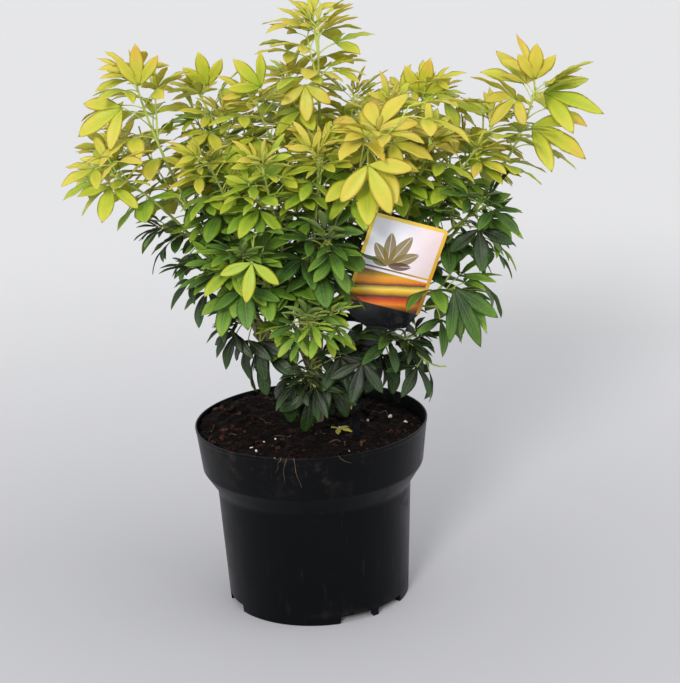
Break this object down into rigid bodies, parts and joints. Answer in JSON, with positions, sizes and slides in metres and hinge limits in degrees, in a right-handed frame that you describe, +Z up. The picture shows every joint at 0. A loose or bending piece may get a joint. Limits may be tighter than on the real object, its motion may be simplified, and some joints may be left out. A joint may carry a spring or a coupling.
{
  "type": "potted shrub",
  "caption": "Golden-leaved bushy shrub with three-part leaves on woody stems, growing in soil in a round black nursery pot with a collar, with a plastic label on a stake.",
  "frame": {"origin": "middle of the pot's underside, at the level it stands on", "axes": "+Z up along the pot's axis, -Y is the front, where the label faces, and +X is to the right seen from the front"},
  "size_m": [0.4933, 0.3238, 0.5889],
  "materials": {
    "pot_plastic": "injection-moulded black plastic, satin, lightly scuffed",
    "potting_mix": "damp bark and peat crumbs, matt",
    "label_card": "printed plastic sheet, glossy",
    "bark": "young grey-brown bark, matt",
    "leaf_gold": "young golden-yellow leaf, softly glossy",
    "leaf_lime": "lime-green leaf, softly glossy",
    "leaf_green": "mid-green leaf, softly glossy",
    "leaf_dark": "dark green older leaf, glossy"
  },
  "bodies": {
    "root": {"fallen_leaf_1": "leaf_gold", "fallen_leaf_2": "leaf_gold", "plant_label": "label_card", "pot": "pot_plastic", "shoot_back_far_right": "leaf_lime", "shoot_back_left": "leaf_gold", "shoot_back_low_left": "leaf_dark", "shoot_back_low_right": "leaf_dark", "shoot_back_middle": "leaf_gold", "shoot_back_right": "leaf_gold", "shoot_far_left": "leaf_gold", "shoot_front_green": "leaf_green", "shoot_front_lime": "leaf_lime", "shoot_front_upper": "leaf_gold", "shoot_front_upper_left": "leaf_gold", "shoot_front_yellow": "leaf_gold", "shoot_front_young": "leaf_lime", "shoot_left_back": "leaf_gold", "shoot_left_dark": "leaf_dark", "shoot_left_front": "leaf_gold", "shoot_left_low": "leaf_dark", "shoot_left_shoulder": "leaf_gold", "shoot_left_upper": "leaf_lime", "shoot_low_front": "leaf_dark", "shoot_low_left": "leaf_dark", "shoot_right_back": "leaf_gold", "shoot_right_dark": "leaf_dark", "shoot_right_front": "leaf_gold", "shoot_right_green": "leaf_green", "shoot_right_low": "leaf_dark", "shoot_right_lowest": "leaf_dark", "shoot_right_sprig": "leaf_gold", "shoot_right_upper": "leaf_gold", "shoot_top_back": "leaf_gold", "shoot_top_front": "leaf_gold", "shoot_top_inner_left": "leaf_gold", "shoot_top_left": "leaf_gold", "shoot_top_middle": "leaf_gold", "shoot_top_right": "leaf_gold", "shoot_top_sprig": "leaf_gold", "soil": "potting_mix", "woody_base": "bark"}
  },
  "joints": []
}
